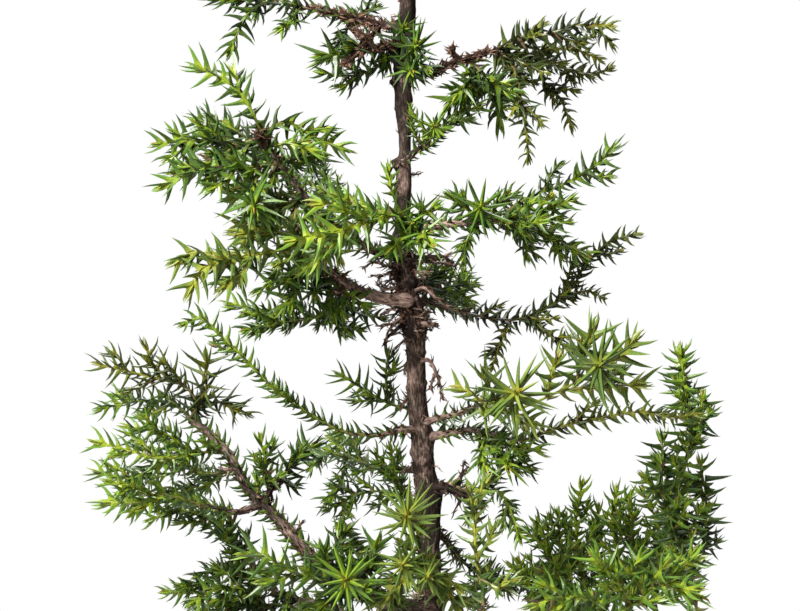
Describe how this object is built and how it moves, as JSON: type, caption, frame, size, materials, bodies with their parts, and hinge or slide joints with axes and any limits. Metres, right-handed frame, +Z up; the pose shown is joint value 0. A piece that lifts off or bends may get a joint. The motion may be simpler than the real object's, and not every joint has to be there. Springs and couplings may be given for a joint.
{
  "type": "potted japanese cedar bonsai",
  "caption": "Upright bonsai conifer with a bare tapering trunk, whorled limbs and leafy sprays of awl-shaped needles, standing in a low rectangular clay pot.",
  "frame": {"origin": "on the table under the middle of the whole object's box", "axes": "+Z up along the trunk, +Y away from the viewer, +X to the viewer's right"},
  "size_m": [0.2906, 0.2048, 0.4943],
  "materials": {
    "clay": "unglazed brown stoneware, matt, fine-grained",
    "grit": "loose brown and grey grit with moss",
    "bark": "rough grey-brown bark, flaking in long fibres",
    "needles_dark": "waxy dark green needles, half matt",
    "needles_bright": "young yellow-green needles, half matt"
  },
  "bodies": {
    "root": {"pot": "clay", "soil": "grit", "wood": "bark", "spray_crown_leader": "needles_dark", "spray_crown_left": "needles_dark", "spray_crown_right": "needles_dark", "spray_crown_front": "needles_dark", "spray_crown_back": "needles_dark", "spray_right_high_crest": "needles_dark", "spray_right_high_middle": "needles_dark", "spray_right_high_inner": "needles_dark", "spray_front_high_star": "needles_dark", "spray_right_upper": "needles_bright", "spray_right_middle_star": "needles_dark", "spray_right_middle_long": "needles_dark", "spray_right_middle_cluster": "needles_dark", "spray_right_arch": "needles_dark", "spray_right_back_cluster": "needles_dark", "spray_front_star_left": "needles_dark", "spray_front_star_right": "needles_dark", "spray_right_low_long": "needles_dark", "spray_right_low_star": "needles_dark", "spray_right_hanging": "needles_dark", "spray_right_edge_rise": "needles_dark", "spray_right_back_fan": "needles_dark", "spray_right_front_bottom": "needles_bright", "spray_front_right_rise": "needles_bright", "spray_front_low_star": "needles_bright", "spray_left_front_bottom": "needles_dark", "spray_left_main_top": "needles_dark", "spray_left_high_long": "needles_dark", "spray_left_high_star": "needles_dark", "spray_left_high_back": "needles_dark", "spray_left_front_crest": "needles_bright", "spray_left_front_tip": "needles_dark", "spray_left_front_lower": "needles_dark", "spray_left_front_star": "needles_dark", "spray_front_sweep": "needles_bright", "spray_left_front_far": "needles_bright", "spray_left_stub_star": "needles_dark", "spray_left_stub_hanging": "needles_dark", "spray_left_long": "needles_dark", "spray_left_inner": "needles_dark", "spray_left_small": "needles_dark", "spray_left_top_shoot": "needles_dark", "spray_left_west": "needles_bright", "spray_left_bright": "needles_bright", "spray_left_mass": "needles_dark", "spray_left_tip_low": "needles_bright", "spray_left_rise": "needles_dark", "spray_left_back_fan": "needles_dark", "spray_left_back_bottom": "needles_dark", "spray_left_dark": "needles_dark", "spray_low_left": "needles_dark", "spray_low_left_inner": "needles_dark", "spray_back_upper": "needles_dark", "spray_back_middle": "needles_dark", "spray_back_low_left": "needles_dark", "spray_back_low_right": "needles_dark", "spray_back_bottom": "needles_dark"}
  },
  "joints": []
}
